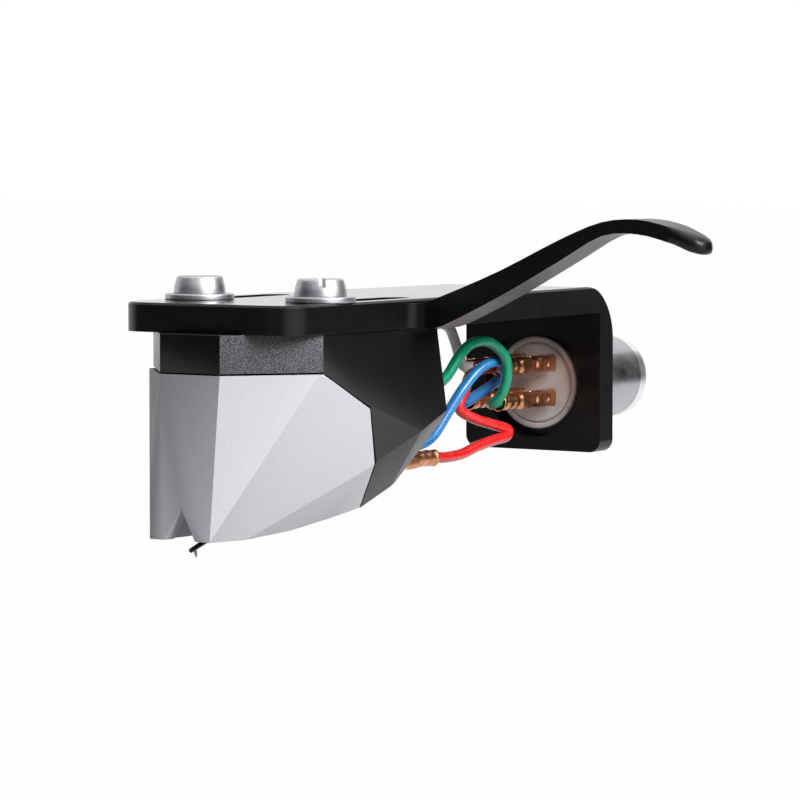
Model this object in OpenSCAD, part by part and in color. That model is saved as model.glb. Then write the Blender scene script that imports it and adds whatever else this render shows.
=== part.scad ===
// Turntable stylus cartridge on its headshell, with its four leads.
// Millimetres. +X is the finger-lift side, +Y runs out of the bayonet barrel, +Z is up.
// The origin is the centre of the barrel's rear end face.

/* [Headshell] */
// Half of the plate's width at its front
plate_half_w = 9.2; // [9:0.1:10]
// Half of the plate's width at the rear wall
plate_rear_half_w = 7.5; // [7:0.1:8.5]
// Plate thickness
plate_t = 2.5; // [2:0.1:3]
// Length from the wall's rear face to the plate's front edge
plate_len = 55.9; // [54:0.5:58]
// Height of the plate's top above the barrel's axis
plate_top_z = 9.4; // [9:0.1:10]
// Radius of the plate's front corners
plate_corner_r = 3.1; // [2:0.1:4]
// Bevel around the plate's top edge
plate_bevel = 0.2; // [0.1:0.05:0.5]
// Width of each mounting slot
slot_w = 2.7; // [2.6:0.05:2.9]
// Length of each mounting slot
slot_len = 13.6; // [10:0.2:15]
// Thickness of the rear wall
wall_t = 2.4; // [2.2:0.1:3]
// How far the rear wall hangs below the barrel's axis
wall_drop = 6.4; // [6:0.1:7.5]
// Rounding where the plate's top turns down into the rear wall
wall_corner_r = 5; // [3:0.1:5.5]

/* [Finger lift] */
// Width of the lift along the headshell
lift_w = 4.1; // [3.5:0.1:5]
// Reach of the lift from the plate's edge to its tip
lift_reach = 28.1; // [26:0.2:32]
// Rise of the lift's top above the plate's top
lift_rise = 7.1; // [5.5:0.1:8]
// Thickness of the lift near its tip
lift_t = 1.3; // [1.1:0.05:1.6]
// Distance of the lift's front edge behind the mounting screws
lift_behind_screws = 10; // [8:0.2:12]

/* [Connector] */
// Radius of the barrel where the arm's collar holds it
barrel_r = 4; // [3.9:0.05:4.1]
// Length of the barrel behind the wall
barrel_len = 12.8; // [12:0.1:14]
// Radius of the barrel's neck beside the wall
neck_r = 3.7; // [3.6:0.05:3.8]
// Length of that neck
neck_len = 5.2; // [4.6:0.1:5.6]
// Radius of the barrel's bore
barrel_bore_r = 3.2; // [3:0.05:3.3]
// Radius of the key pin
key_r = 0.6; // [0.5:0.05:0.8]
// Height of the key pin above the neck
key_h = 1.3; // [1:0.05:1.5]
// Thickness of the rubber gasket
gasket_t = 1.2; // [1:0.05:1.5]
// Spacing of the contact pins across the barrel
contact_gap = 3.3; // [3.2:0.05:3.4]
// Radius of a contact pin
contact_r = 0.5; // [0.4:0.05:0.55]
// How far the contact pins stand in front of the rear wall
contact_reach = 5.2; // [4.5:0.1:6]

/* [Fasteners] */
// Distance between the two mounting screws
screw_gap = 12.7; // [12.5:0.05:12.9]
// Distance from the headshell's front edge to the screws
screw_from_front = 8.5; // [7.5:0.1:9.5]
// Radius of the screw's thread
screw_r = 1.25; // [1.15:0.01:1.3]
// Radius of the screw's head at its foot
screw_head_r = 2.25; // [2.1:0.05:2.4]
// Radius of the screw's head at its top
screw_top_r = 1.95; // [1.8:0.05:2.2]
// Height of the screw's head
screw_head_h = 1.5; // [1.3:0.05:1.8]
// Depth to which the screw enters the cartridge body
screw_bite = 3.6; // [3:0.1:3.8]
// Radius of the washer
washer_r = 3; // [2.8:0.05:3.1]
// Thickness of the washer
washer_t = 0.5; // [0.3:0.05:0.6]

/* [Cartridge body] */
// Half of the body's width
body_half_w = 8.9; // [8.6:0.05:9.1]
// Half width of the flat front strip
nose_half_w = 3.1; // [2.8:0.05:3.4]
// Length from the screws to the front strip
body_front = 10.1; // [9.6:0.1:10.6]
// Height of the side face's upper part, down to the stylus seam
seam_drop = 3.25; // [3:0.05:3.5]
// Depth of the whole cartridge, from the plate down to the sole
sole_drop = 17.2; // [16.8:0.1:17.6]
// Gap all round the removable stylus assembly
seam_gap = 0.15; // [0.1:0.01:0.2]

/* [Stylus assembly] */
// Tilt of the cantilever and of the stylus tube
tube_tilt = 16.7; // [15:0.1:18]
// Outer radius of the stylus tube
tube_r = 1.15; // [1.1:0.01:1.2]
// Inner radius of the stylus tube
tube_bore_r = 0.95; // [0.9:0.01:1]
// Length of the stylus tube
tube_len = 9; // [8:0.1:9.5]
// Length of the cantilever from its pivot to its free end
cantilever_len = 9.4; // [9:0.1:9.6]
// Radius of the cantilever at its pivot
cantilever_r = 0.28; // [0.25:0.01:0.3]
// Length of the magnet
magnet_len = 2.4; // [2:0.1:2.8]
// Radius of the magnet
magnet_r = 0.62; // [0.55:0.01:0.65]

/* [Leads] */
// Radius of each lead
lead_r = 0.5; // [0.45:0.01:0.6]
// Outer radius of the crimped clips
clip_r = 0.9; // [0.85:0.01:1]
// Length of a clip
clip_len = 9; // [8.6:0.1:9.4]
// Radius of a cartridge terminal
terminal_r = 0.6; // [0.5:0.01:0.62]
// Spacing of the terminals across the body
terminal_gap = 5.2; // [4.8:0.1:5.6]
// Height between the upper and lower terminals
terminal_rise = 6.4; // [6:0.1:6.5]

/* [Hidden] */
$fn = 48;

big = 200;
eps = 0.01;

// Places along the barrel's axis, measured from the wall's rear face
plate_under_z = plate_top_z - plate_t;
plate_front_y = -plate_len;
screw_y = plate_front_y + screw_from_front;
screw_x = screw_gap / 2;
lift_front_y = screw_y + lift_behind_screws;
lift_rear_y = lift_front_y + lift_w;
lift_tip_x = plate_half_w + lift_reach;
lift_top_z = plate_top_z + lift_rise;
slot_front_y = screw_y - 2.2;
slot_rear_y = slot_front_y + slot_len;
flange_r = 4.45;
recess_r = 5.2;
recess_depth = wall_t / 2;
seat_y = -wall_t / 3;
key_y = neck_len - 1.6;
contact_x = contact_gap / 2;
contact_mid_z = 0.3;
contact_front_y = -wall_t - contact_reach;

// The cartridge body's corners in side view, y then z, and the slanted cut faces
body_front_y = screw_y - body_front;
seam_z = plate_under_z - seam_drop;
sole_z = plate_under_z - sole_drop;
flank_y = body_front_y + 6.8;
seam_knee = [screw_y + 3.9, seam_z - 3.25];
seam_mid = [screw_y + 6.7, seam_z - 8.2];
seam_heel = [screw_y + 8.1, seam_z - 12.45];
side_low = [body_half_w, screw_y + 11.8, seam_z - 5.85];
side_rear = [body_half_w, screw_y + 15.95, seam_z - 4.25];
rear_low = [screw_y + 12, sole_z + 3.4];
rear_mid = [screw_y + 16.15, sole_z + 8.8];
rear_high = screw_y + 14.3;
seam_corner = [body_half_w, seam_knee[0], seam_knee[1] + 0.1];
blend_corner = [body_half_w - 1.3, seam_mid[0], seam_mid[1]];
sole_corner = [nose_half_w + 0.55, body_front_y + 2.8, sole_z - 0.1];
front_lean = 1.5;

// The stylus tube's mouth and direction
tube_mouth_y = screw_y - 2;
tube_mouth_z = sole_z + 1.45;
pivot_depth = 1;
pivot_clear = 0.06;
tip_set_back = 0.6;
tube_play = 0.4;
tip_y = pivot_depth - cantilever_len + tip_set_back;
tip_shank_r = 0.14;
tail_len = 1.1;
magnet_front_y = pivot_depth + tail_len;
plug_end_y = tube_len - 0.6;
plug_len = 2;
tie_r = 0.1;

// Rooms inside the body
plug_half_w = 5.2;
plug_front_y = body_front_y + 4;
plug_low_z = seam_z - 7.1;
keel_half_w = 3.2;
keel_front_y = tube_mouth_y + 2.4;
coil_x = 2.3;
coil_r = 1.6;
coil_front_y = screw_y - 2.8;
coil_len = 4.6;
coil_upper_z = seam_z - 0.2;
coil_lower_z = seam_z - 3.9;
core_w = 0.8;
room_half_w = 4.5;
room_front_y = screw_y - 4.4;
room_rear_y = screw_y + 6.4;
room_low_z = seam_z - 5.8;
room_top_z = plate_under_z - 1.4;
block_half_w = 4.2;
block_rear_y = screw_y + 14.2;
block_clear = 0.27;
block_front_y = tube_mouth_y + (tube_len + tube_play) * cos(tube_tilt) + tube_r * sin(tube_tilt)
    + block_clear;
block_below = 1;
block_above = 1.6;
terminal_x = terminal_gap / 2;
terminal_upper_z = seam_z - 2.8;
terminal_lower_z = terminal_upper_z - terminal_rise;
terminal_end_y = block_rear_y + 6.2;
clip_grip = 6.2;
clip_slack = 0.1;
contact_mouth_y = -wall_t + 0.2;
bore_slack = 0.03;

// Routes of the leads from the body clips to the shell clips: x, y, z
red_route = [
    [2.6, -26.7, -5.55], [2.6, -24, -5.55], [2.6, -22, -5.7], [2.5, -19, -5.6], [2.4, -16.2, -5.1],
    [2.3, -13, -4.7], [2.3, -10.9, -4.5], [2.1, -10.3, -3.9], [1.8, -12, -3.4], [0.9, -14.2, -2.7],
    [0.1, -15.6, -1.7], [0.3, -14.9, 0], [0.5, -14.4, 1.3], [1.2, -13, 1.9], [1.65, -11.7, 1.95],
    [1.65, -9, 1.95]
];
green_route = [
    [2.6, -26.7, 0.85], [2.6, -24, 0.85], [2.8, -22, 1.7], [2.9, -20.2, 3.3], [3, -18.4, 4.4],
    [3.3, -16.4, 4.7], [3.5, -14.6, 4.1], [3.8, -13.4, 2.9], [3.8, -13.2, 1.3], [3.3, -13.3, -0.4],
    [2.4, -13.4, -1.3], [1.65, -11.9, -1.35], [1.65, -9, -1.35]
];
blue_route = [
    [-2.6, -26.7, -5.55], [-2.6, -23.7, -5.55], [-1.5, -22, -5.1], [0, -20.4, -4.2],
    [0.8, -18.7, -1.9], [1.5, -17.1, 0.3], [2.2, -15.2, 2.1], [2.8, -13.1, 2.6], [2.8, -12.1, 1.4],
    [1.4, -12.7, 0.1], [-0.4, -13.9, -1.3], [-1.5, -13, -1.5], [-1.65, -11.7, -1.35],
    [-1.65, -9, -1.35]
];
white_route = [
    [-2.6, -26.7, 0.85], [-2.6, -24, 0.85], [-2.4, -21.5, 2.6], [-2.1, -19, 4.8],
    [-1.9, -16.6, 6.1], [-1.7, -14.7, 5.8], [-1.65, -13.6, 4.4], [-1.65, -12.7, 2.7],
    [-1.65, -11.8, 1.95], [-1.65, -9, 1.95]
];

function unit(v) = v / norm(v);

// A point of a smooth curve through the points p, at position k between p[i] and p[i + 1]
function curve_at(p, i, k) =
    let (
        a = p[max(i - 1, 0)],
        b = p[i],
        c = p[i + 1],
        d = p[min(i + 2, len(p) - 1)],
        slope_b = (c - a) / 2,
        slope_c = (d - b) / 2
    )
    b * (2 * k^3 - 3 * k^2 + 1) + slope_b * (k^3 - 2 * k^2 + k)
    + c * (3 * k^2 - 2 * k^3) + slope_c * (k^3 - k^2);
function smooth_line(p, steps) = concat(
    [for (i = [0 : len(p) - 2]) for (s = [0 : steps - 1]) curve_at(p, i, s / steps)],
    [p[len(p) - 1]]
);

// Directions of travel at each ring of a swept lead, and a side vector carried along without twist
function travel(p, i) = unit(p[min(i + 1, len(p) - 1)] - p[max(i - 1, 0)]);
function carried(side, t) = unit(side - t * (side * t));
function sides(p, i = 0, side = [1, 0, 0]) =
    i == len(p) ? [] : let (s = carried(side, travel(p, i))) concat([s], sides(p, i + 1, s));

// Everything is drawn from the wall's rear face, then moved so that the barrel's end is the origin
module placed() {
    translate([0, -barrel_len, 0]) children();
}

// Half of space behind the plane through p whose outward normal is n
module behind(n, p) {
    translate(p)
        rotate([0, acos(n[2] / norm(n)), atan2(n[1], n[0])])
            translate([-big / 2, -big / 2, -big])
                cube(big);
}

// Cuts the children with a slanted plane on both sides of the middle
module cut_both(n, p) {
    intersection() {
        children();
        behind(n, p);
        mirror([1, 0, 0]) behind(n, p);
    }
}

// Cuts both sides with the plane through three corners, its normal pointing out
module cut_through(a, b, c) {
    n = cross(b - a, c - a);
    cut_both(n[0] < 0 ? -n : n, a) children();
}

// An outline in side view, y to the right and z up, made solid between x = -half and half
module side_slab(points, half) {
    rotate([90, 0, 90])
        translate([0, 0, -half])
            linear_extrude(2 * half) polygon(points);
}

module block(low, high) {
    translate(low) cube(high - low);
}

// A rod along +Y from y0 to y1
module rod_y(r, y0, y1) {
    translate([0, y0, 0]) rotate([-90, 0, 0]) cylinder(r = r, h = y1 - y0);
}

// A swept tube through the smooth curve of a route
module swept_lead(route) {
    rings = smooth_line(route, 1);
    side = sides(rings);
    n = 8;
    points = [
        for (i = [0 : len(rings) - 1])
            let (t = travel(rings, i), u = side[i], v = cross(t, u))
            for (k = [0 : n - 1])
                rings[i] + lead_r * (u * cos(k * 360 / n) + v * sin(k * 360 / n))
    ];
    last = len(rings) - 1;
    skin = [
        for (i = [0 : last - 1]) for (k = [0 : n - 1])
            let (a = i * n + k, b = i * n + (k + 1) % n)
            each [[a, a + n, b], [b, a + n, b + n]]
    ];
    ends = [[for (k = [0 : n - 1]) k], [for (k = [n - 1 : -1 : 0]) last * n + k]];
    polyhedron(points, concat(skin, ends), convexity = 8);
}

// Headshell: slotted plate, finger lift and rear wall, cast as one
function lift_top() = smooth_line([
    [plate_half_w - 3, plate_top_z - 0.4],
    [plate_half_w + 0.6, plate_top_z - 0.35],
    [plate_half_w + 3, plate_top_z + 0.35],
    [plate_half_w + lift_reach * 0.31, plate_top_z + lift_rise * 0.365],
    [plate_half_w + lift_reach * 0.52, plate_top_z + lift_rise * 0.75],
    [plate_half_w + lift_reach * 0.665, plate_top_z + lift_rise * 0.965],
    [plate_half_w + lift_reach * 0.785, lift_top_z],
    [plate_half_w + lift_reach * 0.89, lift_top_z - 0.55],
    [lift_tip_x - 1.2, lift_top_z - 1.2],
    [lift_tip_x, lift_top_z - 1.6]
], 3);
function lift_under() = smooth_line([
    [lift_tip_x, lift_top_z - 3.05],
    [lift_tip_x - 1.2, lift_top_z - 2.8],
    [plate_half_w + lift_reach * 0.89, lift_top_z - 0.6 - lift_t],
    [plate_half_w + lift_reach * 0.785, lift_top_z - lift_t * 0.95],
    [plate_half_w + lift_reach * 0.665, lift_top_z - lift_t * 1.1],
    [plate_half_w + lift_reach * 0.52, plate_top_z + lift_rise * 0.75 - lift_t * 1.4],
    [plate_half_w + lift_reach * 0.31, plate_top_z + lift_rise * 0.365 - lift_t * 1.7],
    [plate_half_w + 3, plate_under_z + 0.25],
    [plate_half_w + 1.4, plate_under_z]
], 3);

module lift_plan() {
    root = 1.4;
    tip_x = lift_tip_x - lift_w * 0.4;
    polygon(concat(
        [[plate_half_w - 3, lift_front_y - root]],
        [for (a = [0 : 15 : 90])
            [plate_half_w + root * (1 - cos(a)), lift_front_y - root * (1 - sin(a))]],
        [for (a = [-90 : 15 : 90])
            [tip_x + lift_w * 0.4 * cos(a), (lift_front_y + lift_rear_y) / 2 + lift_w * 0.42 * sin(a)]],
        [for (a = [90 : -15 : 0])
            [plate_half_w + root * (1 - cos(a)), lift_rear_y + root * (1 - sin(a))]],
        [[plate_half_w - 3, lift_rear_y + root]]
    ));
}

module finger_lift() {
    intersection() {
        rotate([90, 0, 0])
            translate([0, 0, -big / 2])
                linear_extrude(big) polygon(concat(
                    lift_top(), lift_under(), [[plate_half_w - 3, plate_under_z]]
                ));
        linear_extrude(big / 4) lift_plan();
    }
}

// The plate's outline, drawn in by the given inset
module plate_outline(inset) {
    r = plate_corner_r - inset;
    hull() {
        for (s = [-1, 1]) {
            translate([s * (plate_half_w - plate_corner_r), plate_front_y + plate_corner_r])
                circle(r = r);
            translate([s * (plate_half_w - 1 - inset), lift_rear_y + 3])
                square([2, eps], center = true);
            translate([s * (plate_rear_half_w - 1 - inset), -wall_t / 2])
                square([2, eps], center = true);
        }
    }
}

module wall_outline() {
    low_r = 1.2;
    hull() {
        for (s = [-1, 1]) {
            translate([s * (plate_rear_half_w - 1), plate_top_z - 1])
                square(2, center = true);
            translate([s * (plate_rear_half_w - low_r), -wall_drop + low_r]) circle(r = low_r);
        }
    }
}

// Side view of the headshell's outside, rounded where the plate meets the wall
module shell_envelope() {
    r = wall_corner_r;
    side_slab(concat(
        [[-big / 2, -big / 4], [-big / 2, plate_top_z]],
        [for (a = [90 : -7.5 : 0]) [-r + r * cos(a), plate_top_z - r + r * sin(a)]],
        [[0, -big / 4]]
    ), big / 4);
}

module headshell() {
    color("#18181b") placed() difference() {
        union() {
            intersection() {
                union() {
                    hull() {
                        translate([0, 0, plate_under_z])
                            linear_extrude(plate_t - plate_bevel) plate_outline(0);
                        translate([0, 0, plate_top_z - eps])
                            linear_extrude(eps) plate_outline(plate_bevel);
                    }
                    rotate([90, 0, 0]) linear_extrude(wall_t) wall_outline();
                }
                shell_envelope();
            }
            finger_lift();
        }
        for (s = [-1, 1]) translate([s * screw_x, 0, 0]) hull() {
            translate([0, slot_front_y, 0]) cylinder(r = slot_w / 2, h = big / 4);
            translate([0, slot_rear_y, 0]) cylinder(r = slot_w / 2, h = big / 4);
        }
        rod_y(neck_r, -wall_t - 1, 1);
        rod_y(recess_r, -wall_t - 1, -wall_t + recess_depth);
        rod_y(flange_r, -wall_t - 1, seat_y);
    }
}

// Bayonet barrel: a turned tube with a thinner neck that is pressed into the wall
module connector_barrel() {
    color("#9a9aa0") placed() difference() {
        rotate([-90, 0, 0]) rotate_extrude() polygon([
            [barrel_bore_r, seat_y],
            [neck_r, seat_y],
            [neck_r, neck_len],
            [barrel_r, neck_len],
            [barrel_r, barrel_len],
            [barrel_bore_r, barrel_len]
        ]);
        translate([0, key_y, 0]) cylinder(r = key_r, h = big / 4);
    }
}

module key_pin() {
    color("#b4b4ba") placed()
        translate([0, key_y, barrel_bore_r + 0.05])
            cylinder(r = key_r, h = neck_r - barrel_bore_r - 0.05 + key_h);
}

module barrel_gasket() {
    color("#141416") placed() difference() {
        rod_y(neck_r + 1.1, 0, gasket_t);
        rod_y(neck_r, -1, gasket_t + 1);
    }
}

module at_contacts() {
    for (s = [-1, 1]) for (t = [-1, 1])
        translate([s * contact_x, 0, contact_mid_z + t * contact_gap / 2]) children();
}

module contact_insulator() {
    rim_y = seat_y - 0.9;
    groove_r = 3.75;
    groove_w = 0.15;
    groove_y = rim_y + 0.45;
    color("#d9d9df") placed() difference() {
        rotate([-90, 0, 0]) rotate_extrude() polygon([
            [0, rim_y],
            [groove_r, rim_y],
            [groove_r, groove_y],
            [groove_r + groove_w, groove_y],
            [groove_r + groove_w, rim_y],
            [flange_r, rim_y],
            [flange_r, seat_y],
            [barrel_bore_r, seat_y],
            [barrel_bore_r, barrel_len - 0.2],
            [0, barrel_len - 0.2]
        ]);
        at_contacts() rod_y(contact_r, -wall_t - 1, barrel_len + 1);
    }
}

module contact_pin(n) {
    s = n % 2 == 1 ? 1 : -1;
    t = n <= 2 ? 1 : -1;
    color("#c9a35a") placed() translate([s * contact_x, 0, contact_mid_z + t * contact_gap / 2]) {
        rod_y(contact_r, contact_front_y, barrel_len + 0.4);
    }
}

module mount_screw(s) {
    slot_width = 0.6;
    slot_depth = 0.7;
    slot_turn = s > 0 ? 39 : -57;
    head_z = plate_top_z + washer_t;
    color("#c8c9cc") placed() translate([s * screw_x, screw_y, 0]) difference() {
        union() {
            translate([0, 0, head_z])
                cylinder(r1 = screw_head_r, r2 = screw_top_r, h = screw_head_h);
            translate([0, 0, plate_under_z - screw_bite])
                cylinder(r = screw_r, h = head_z - plate_under_z + screw_bite);
        }
        translate([0, 0, head_z + screw_head_h - slot_depth / 2])
            rotate([0, 0, slot_turn])
                cube([slot_width, 3 * screw_head_r, slot_depth + eps], center = true);
    }
}

module washer(s) {
    color("#b9babd") placed() translate([s * screw_x, screw_y, plate_top_z]) difference() {
        cylinder(r = washer_r, h = washer_t);
        translate([0, 0, -1]) cylinder(r = screw_r + 0.1, h = washer_t + 2);
    }
}

// Outer form of the black body, before it is hollowed
module body_form() {
    cut_both([flank_y - body_front_y, nose_half_w - body_half_w, 0], [body_half_w, flank_y, 0])
    cut_through(seam_corner, side_low, blend_corner)
    cut_through(side_low, blend_corner, [nose_half_w + 1.9, seam_heel[0], seam_heel[1]])
    cut_through(side_low, side_rear, [body_half_w - 2.95, rear_low[0], rear_low[1]])
    side_slab([
        [body_front_y, plate_under_z],
        [body_front_y, seam_z],
        [flank_y, seam_z],
        seam_knee,
        seam_mid,
        seam_heel,
        rear_low,
        rear_mid,
        [side_rear[1], side_rear[2]],
        [rear_high, plate_under_z]
    ], body_half_w);
}

// The plug and keel that reach down into the stylus assembly
module body_plug() {
    block([-plug_half_w, plug_front_y, plug_low_z], [plug_half_w, seam_knee[0] + 3, seam_z + 1]);
    intersection() {
        block([-keel_half_w, keel_front_y, sole_z], [keel_half_w, seam_mid[0] + 1, plug_low_z + 1]);
        side_slab([
            [keel_front_y, plug_low_z + 1],
            [keel_front_y, tube_mouth_z + 0.55],
            [seam_mid[0] + 1, tube_mouth_z + 2.2],
            [seam_mid[0] + 1, plug_low_z + 1]
        ], keel_half_w);
    }
}

module along_tube() {
    translate([0, tube_mouth_y, tube_mouth_z]) rotate([tube_tilt, 0, 0]) children();
}

module body_shell() {
    color("#1c1c20") placed() difference() {
        union() {
            body_form();
            body_plug();
        }
        block([-room_half_w, room_front_y, room_low_z], [room_half_w, room_rear_y, room_top_z]);
        block([-block_half_w, room_rear_y - 1, terminal_lower_z - block_below],
            [block_half_w, block_rear_y + 10, terminal_upper_z + block_above]);
        for (s = [-1, 1]) {
            block([s * coil_x - core_w / 2 - 0.05, room_rear_y - 5, sole_z + 3.2],
                [s * coil_x + core_w / 2 + 0.05, room_rear_y - 0.6, room_low_z + 1]);
            translate([s * screw_x, screw_y, plate_under_z - screw_bite - 0.3])
                cylinder(r = screw_r, h = big / 4);
        }
        along_tube() rod_y(tube_r + 0.05, 0, tube_len + tube_play);
    }
}

module magnetic_shield() {
    gap = 0.1;
    sheet = 0.25;
    low = [-room_half_w + gap, room_front_y + gap, room_low_z + gap];
    high = [room_half_w - gap, room_rear_y - gap, room_top_z];
    color("#8e9096") placed() difference() {
        block(low, high);
        block(low + [sheet, sheet, -1], high + [-sheet, 1, -sheet]);
    }
}

// The wire wound on each bobbin, around a hole for the core
module coil(n) {
    s = n % 2 == 1 ? 1 : -1;
    z = n <= 2 ? coil_upper_z : coil_lower_z;
    flange = 0.4;
    hole = core_w * 0.78;
    color("#a65a32") placed() translate([s * coil_x, coil_front_y, z]) rotate([-90, 0, 0])
        rotate_extrude() polygon([
            [hole, 0],
            [coil_r, 0],
            [coil_r, flange],
            [coil_r - 0.3, flange],
            [coil_r - 0.3, coil_len - flange],
            [coil_r, coil_len - flange],
            [coil_r, coil_len],
            [hole, coil_len]
        ]);
}

// A core through the coil, with a leg that reaches down beside the stylus tube
module pole_piece(n) {
    s = n % 2 == 1 ? 1 : -1;
    upper = n <= 2;
    z = upper ? coil_upper_z : coil_lower_z;
    rear_y = room_rear_y - (upper ? 0.8 : 3.4);
    foot_z = sole_z + (upper ? 3.9 : 3.3);
    color("#77797e") placed() {
        difference() {
            block([s * coil_x - core_w / 2, coil_front_y - 0.6, foot_z],
                [s * coil_x + core_w / 2, rear_y, z + core_w / 2]);
            block([s * coil_x - core_w, coil_front_y - 1, foot_z - 1],
                [s * coil_x + core_w, rear_y - core_w, z - core_w / 2]);
        }
    }
}

module terminal_block() {
    color("#222226") placed() difference() {
        block([-block_half_w, block_front_y, terminal_lower_z - block_below],
            [block_half_w, block_rear_y, terminal_upper_z + block_above]);
        for (s = [-1, 1]) for (z = [terminal_upper_z, terminal_lower_z])
            translate([s * terminal_x, 0, z]) rod_y(terminal_r, block_front_y - 1, block_rear_y + 1);
    }
}

module terminal_pin(n) {
    s = n % 2 == 1 ? 1 : -1;
    z = n <= 2 ? terminal_upper_z : terminal_lower_z;
    color("#c9a35a") placed()
        translate([s * terminal_x, 0, z]) rod_y(terminal_r, block_front_y, terminal_end_y);
}

// Outer form of the removable stylus assembly
module housing_form() {
    top = seam_z - seam_gap;
    knee = seam_knee - [0, 1.4 * seam_gap];
    front = [nose_half_w, body_front_y, top];
    flank = [body_half_w, flank_y - 0.6, top];
    foot = [nose_half_w, body_front_y - front_lean, sole_z];
    cut_through(flank, front, foot)
    cut_through(flank, [seam_corner[0], seam_corner[1], seam_corner[2]], foot)
    cut_through(blend_corner, sole_corner, [nose_half_w + 1.9, seam_heel[0], seam_heel[1]])
    side_slab([
        [foot[1], foot[2]],
        [front[1], top],
        [flank_y, top],
        knee,
        seam_mid - [1.2 * seam_gap, 0],
        seam_heel - [1.2 * seam_gap, 0],
        [seam_heel[0] - 4.2, sole_z + 0.85],
        [seam_heel[0] - 9.2, sole_z + 0.2],
        [sole_corner[1], sole_corner[2]]
    ], body_half_w);
}

module stylus_housing() {
    wall = 0.15;
    notch_half = 1.6;
    notch_top = sole_z + 2.6;
    color("#d3d5d9") placed() difference() {
        housing_form();
        block([-plug_half_w - wall, plug_front_y - wall, plug_low_z - wall],
            [plug_half_w + wall, 0, plate_top_z]);
        block([-keel_half_w - wall, keel_front_y - wall, tube_mouth_z + 0.2],
            [keel_half_w + wall, 0, plug_low_z + 1]);
        side_slab([
            [keel_front_y - wall, tube_mouth_z + 0.3],
            [seam_heel[0] + 1, tube_mouth_z + 1.7],
            [seam_heel[0] + 1, plug_low_z],
            [keel_front_y - wall, plug_low_z]
        ], keel_half_w + wall);
        rotate([90, 0, 0]) translate([0, 0, -tube_mouth_y])
            linear_extrude(20) polygon([
                [-notch_half, sole_z],
                [-notch_half - 0.2, sole_z - 1],
                [notch_half + 0.2, sole_z - 1],
                [notch_half, sole_z],
                [0, notch_top]
            ]);
        block([-2.2, body_front_y - 0.1, sole_z - 1], [2.2, tube_mouth_y - eps, notch_top + 0.4]);
        block([-tube_r - 0.1, tube_mouth_y - 1, sole_z - 1],
            [tube_r + 0.1, tube_mouth_y + 5, tube_mouth_z - 0.4]);
        along_tube() rod_y(tube_r, -2, tube_len + tube_play);
    }
}

module stylus_tube() {
    color("#b9babd") placed() along_tube() difference() {
        rod_y(tube_r, 0, tube_len);
        rod_y(tube_bore_r, -1, tube_len + 1);
    }
}

module tube_plug() {
    color("#a8873f") placed() along_tube() difference() {
        rod_y(tube_bore_r, plug_end_y - plug_len, plug_end_y);
        rod_y(tie_r, 0, tube_len);
    }
}

module damper_ring() {
    color("#26262a") placed() along_tube() difference() {
        rod_y(tube_bore_r, pivot_depth - 0.4, pivot_depth + 0.4);
        rod_y(cantilever_r + 0.28, -1, tube_len);
    }
}

module tie_wire() {
    color("#c8c9cc") placed() along_tube()
        rod_y(tie_r, magnet_front_y + magnet_len + 0.15, plug_end_y);
}

module pivot_collar() {
    color("#a8873f") placed() along_tube() difference() {
        rod_y(cantilever_r + 0.22, pivot_depth - 0.3, pivot_depth + 0.3);
        rod_y(cantilever_r + pivot_clear, -1, tube_len);
    }
}

module cantilever() {
    color("#26262a") placed() along_tube() difference() {
        translate([0, pivot_depth - cantilever_len, 0]) rotate([-90, 0, 0])
            rotate_extrude() polygon([
                [0, 0],
                [cantilever_r * 0.7, 0],
                [cantilever_r, cantilever_len * 0.5],
                [cantilever_r, cantilever_len + tail_len],
                [0, cantilever_len + tail_len]
            ]);
        translate([0, tip_y, -1]) cylinder(r = tip_shank_r, h = 2);
    }
}

module magnet() {
    color("#55565b") placed() along_tube()
        rod_y(magnet_r, magnet_front_y, magnet_front_y + magnet_len);
}

module stylus_tip() {
    shank_h = 0.6;
    cone_h = 0.35;
    color("#c8c9cc") placed() along_tube() translate([0, tip_y, 0.1]) rotate([180, 0, 0]) {
        cylinder(r = tip_shank_r, h = shank_h);
        translate([0, 0, shank_h]) cylinder(r1 = tip_shank_r, r2 = 0.03, h = cone_h);
    }
}

// A crimped clip: a sleeve that grips a pin at y = 0, and the lead at its other end
module clip(pin_r) {
    difference() {
        rod_y(clip_r, 0, clip_len);
        rod_y(pin_r + bore_slack, -1, clip_grip);
        rod_y(lead_r + bore_slack, clip_grip, clip_len + 1);
        block([-0.15, -1, 0], [0.15, clip_grip - 0.6, clip_r + 1]);
    }
}

module shell_clip(s, t) {
    color("#b9744f") placed()
        translate([s * contact_x, contact_mouth_y, contact_mid_z + t * contact_gap / 2])
            rotate([0, 0, 180]) clip(contact_r);
}

module body_clip(s, z) {
    color("#b9744f") placed()
        translate([s * terminal_x, terminal_end_y - clip_grip + clip_slack, z]) clip(terminal_r);
}

module lead_red() { color("#f0282a") placed() swept_lead(red_route); }
module lead_green() { color("#0a9b77") placed() swept_lead(green_route); }
module lead_blue() { color("#2a8ad0") placed() swept_lead(blue_route); }
module lead_white() { color("#dcdadb") placed() swept_lead(white_route); }

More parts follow.
